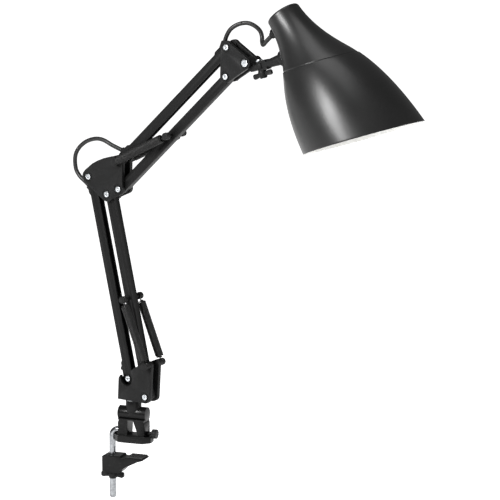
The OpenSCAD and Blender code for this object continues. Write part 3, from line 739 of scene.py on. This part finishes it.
def catmull_rom(route, per_span=8):
    """Through every point: half of 2b + (c-a)t + (2a-5b+4c-d)t^2 + (3b-a-3c+d)t^3."""
    p = np.array([route[0], *route, route[-1]], float)
    a, b, c, d = (p[k:len(p) - 3 + k, None] for k in range(4))
    t = np.linspace(0, 1, per_span, endpoint=False)[None, :, None]
    curve = 0.5 * (2 * b + (c - a) * t + (2 * a - 5 * b + 4 * c - d) * t**2 + (3 * b - a - 3 * c + d) * t**3)
    return np.concatenate([curve.reshape(-1, 3), p[-1:]])


def flex(name, node, route, pivot, cuts):
    """Loop of flex in stretches between the cuts."""
    line = in_space(pivot) + catmull_rom(route)
    stops = [0, *(8 * k for k in cuts), len(line) - 1]
    for k, (low, high) in enumerate(zip(stops, stops[1:])):
        part = line[low:high + 1]
        wide = line[max(low - 1, 0):high + 2]
        rings = tube(wide, FLEX_D / 2, across, 20)[min(low, 1):][:len(part)]
        thing = place(f"{name}_{k + 1}", skin(name, rings), ["flex_black"], nodes=[node])
        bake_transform(thing)
        long = np.linalg.norm(np.diff(part, axis=0), axis=1).sum() * MM
        print(f"{name}_{k + 1} is {long * 1000:.1f} mm long")


flex("elbow_flex", "elbow_flex_loop", elbow_route, pin_c, [6])
flex("head_flex", "head_flex_loop", head_route, pin_f, [4, 8])

# %% [markdown]
# Most parts are right as CAD, but their corners are knife sharp, and a sharp black corner
# shows nothing. Real mouldings and castings have a small radius that catches a thin line of
# light. So each is copied, its loose triangles are merged, flat faces are made whole, and a
# bevel rounds every corner by the radius that its process gives.

# %% Soft corners on mouldings, castings and bars
def rounded(thing, radius, segments=2, sharp=32):
    """Bevel of a radius in millimetres on every edge that bends by more than `sharp` degrees."""
    bevel = thing.modifiers.new("corner", "BEVEL")
    bevel.width, bevel.segments = radius * MM, segments
    bevel.limit_method, bevel.angle_limit = "ANGLE", radians(sharp)
    bevel.harden_normals = True
    return thing


def softened(node, finish, radius, segments=2, sharp=32):
    """Copy of a CAD node with rounded corners, riding where the node does."""
    source = frame["nodes"][node]
    shell = bmesh.new()
    shell.from_mesh(source.data)
    bmesh.ops.remove_doubles(shell, verts=shell.verts, dist=2e-6)
    bmesh.ops.dissolve_limit(shell, angle_limit=radians(0.6), verts=shell.verts, edges=shell.edges)
    mesh = bpy.data.meshes.new(node + "_soft")
    shell.to_mesh(mesh)
    shell.free()
    mesh.polygons.foreach_set("use_smooth", np.ones(len(mesh.polygons), bool))
    return rounded(place(node + "_soft", mesh, [finish], source["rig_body"], [node]), radius, segments, sharp)


for bracket in ("crank", "elbow", "head"):
    for side in ("near", "far"):
        softened(f"{bracket}_plate_{side}", "plate_black", 0.55)
for node in ("crank_core", "elbow_core", "head_core", "rear_bar_lower_bush", "rear_bar_upper_bush",
             "top_bar_lower_bush", "top_bar_upper_bush", "tilt_lever", "head_stem", "stem_flange",
             "neck_bush", "socket_bush"):
    softened(node, "plate_black", 0.35)
for node in ("rear_bar", "front_bar", "top_bar", "bottom_bar"):
    softened(node, "bar_black", 0.45)
for node in ("clamp_body", "lower_jaw"):
    softened(node, "clamp_black", 0.7, 3)
for node in ("end_screw", "clamp_wing_nut", "pan_wing_nut", "tilt_nut"):
    softened(node, "knob_black", 0.4)
for node in ("crank_spring_pegs", "lower_spring_pin", "upper_spring_pin", "elbow_spring_pin"):
    softened(node, "knob_black", 0.35)
for node in ("crank_bolts", "elbow_bolts", "head_bolts", "tilt_bolt", "stem_locknuts", "pan_bolt"):
    softened(node, "zinc_fastener", 0.3)

# %% [markdown]
# A thin dark wall is put across the crank's back edge, up to the lower rear bolt, to paint
# shade into the pocket beside that bolt. The CAD has no such wall, so the shown shape is more
# than the CAD's here. It stops about one millimetre short of the rear bar's foot.

# %% Dark wall for the painted shade at the crank's back
DARKENING_WALL_OUTLINE = np.array([(-15.4, 66), (-15.4, 79.2), (-14.9, 80.8), (-14.0, 80.8), (-14.0, 66)])
darkening_wall_rows = np.stack([np.insert(DARKENING_WALL_OUTLINE, 1, y, axis=1) for y in (-5.3, 5.3)])
darkening_wall = skin("crank_darkening_wall", darkening_wall_rows)
# painted shade: a dark wall, not in the CAD, keeps the pocket beside the lower rear bolt dark
rounded(place("crank_darkening_wall", darkening_wall, ["plate_black"], "crank", ["crank_core"]), 0.25)

# %% [markdown]
# What is left keeps its CAD mesh, and takes the finish that its material slot names. The
# record gives each node's slot, and the finishes above carry the same names.

# %% Finishes on the plain CAD nodes
for name, node in frame["nodes"].items():
    for slot in node.material_slots:
        slot.material = Finish.made.get(slot.name.split(".")[0], Finish.made["plate_black"])
    if not node.hide_render:
        print(name, "in", ", ".join(slot.name for slot in node.material_slots))
